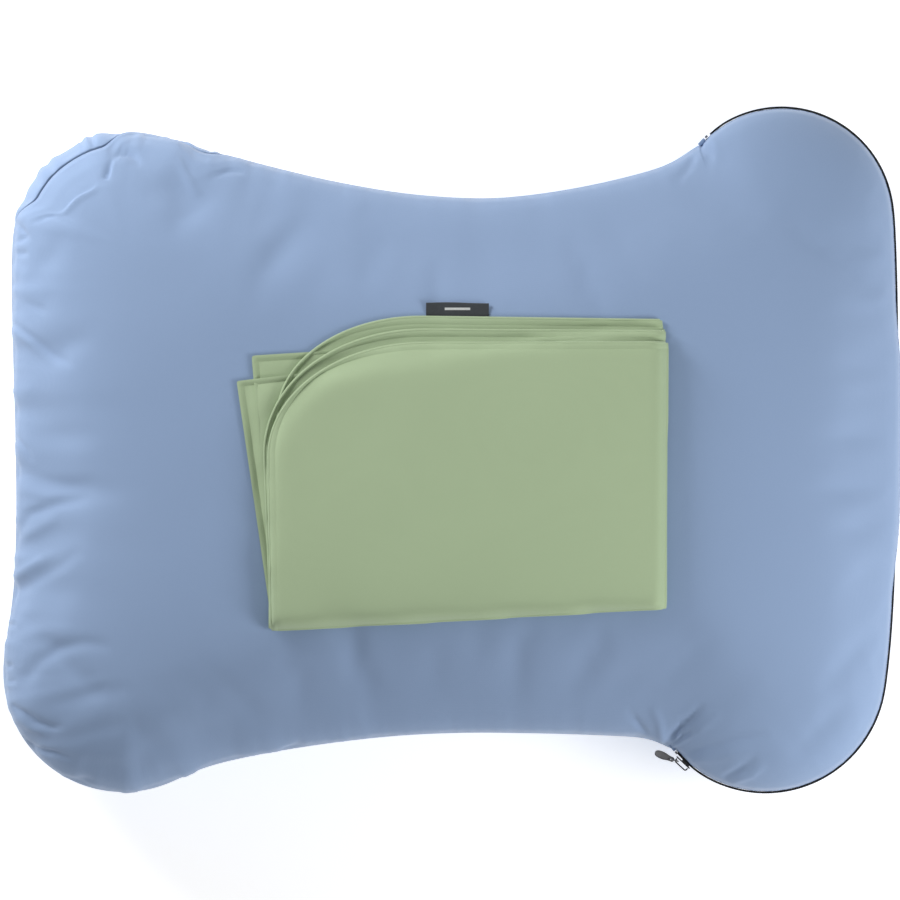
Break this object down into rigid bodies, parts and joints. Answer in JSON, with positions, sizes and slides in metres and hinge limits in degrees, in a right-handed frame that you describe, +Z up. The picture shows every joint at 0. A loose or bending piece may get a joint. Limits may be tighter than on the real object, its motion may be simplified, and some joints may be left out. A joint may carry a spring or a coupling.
{
  "type": "camp pillow",
  "caption": "Filled bone-shaped camp pillow with a zip round one end, and its folded spare cover lying on top.",
  "frame": {"origin": "on the ground under the middle of the pillow", "axes": "+Z up, +X along the length towards the zip end, +Y towards the rear long side, opposite the parked zip slider"},
  "size_m": [0.6026, 0.4628, 0.1356],
  "materials": {
    "outer_cloth": "blue woven polyester, smooth and matt with a soft sheen",
    "liner_cloth": "plain off-white nonwoven",
    "foam": "open-cell foam pieces",
    "zip_tape": "black woven tape",
    "zip_coil": "black nylon coil",
    "slider_paint": "black enamel on die-cast zinc",
    "pull_metal": "dark nickel plate",
    "cover_cloth": "sage green brushed polyester",
    "label_cloth": "charcoal woven ribbon with a plain pale dash"
  },
  "bodies": {
    "pillow": {"top_panel": "outer_cloth", "bottom_panel": "outer_cloth", "bound_seam": "outer_cloth", "zip_end_tab_front": "outer_cloth", "zip_end_tab_rear": "outer_cloth", "liner_top": "liner_cloth", "liner_bottom": "liner_cloth", "foam_fill": "foam", "zip_tape_upper": "zip_tape", "zip_tape_lower": "zip_tape", "zip_coil_upper": "zip_coil", "zip_coil_lower": "zip_coil", "zip_parking_stop_upper": "pull_metal", "zip_parking_stop_lower": "pull_metal", "zip_end_stop": "pull_metal"},
    "slider": {"slider_body": "slider_paint", "slider_bridge": "slider_paint"},
    "pull_ring": {"pull_ring": "pull_metal"},
    "pull_leaf": {"pull_leaf": "pull_metal"},
    "cover": {"cover_back_panel": "cover_cloth", "cover_front_panel": "cover_cloth", "cover_hem": "cover_cloth", "cover_label": "label_cloth"}
  },
  "joints": [
    {"name": "slider_travel", "type": "hinge", "parent": "pillow", "child": "slider", "pos_m": [0.2125, -0.1498, 0.056], "axis": [0, 0, 1], "range_deg": [0, 117]},
    {"name": "ring_swing", "type": "hinge", "parent": "slider", "child": "pull_ring", "pos_m": [0.15343, -0.20939, 0.056], "axis": [0, 0, 1], "range_deg": [0, 98]},
    {"name": "leaf_swing", "type": "hinge", "parent": "pull_ring", "child": "pull_leaf", "pos_m": [0.14924, -0.20805, 0.056], "axis": [0, 0, 1], "range_deg": [0, 40]},
    {"name": "cover_lift", "type": "slide", "parent": "pillow", "child": "cover", "axis": [0, 0, 1], "range_m": [0, 0.3]}
  ]
}
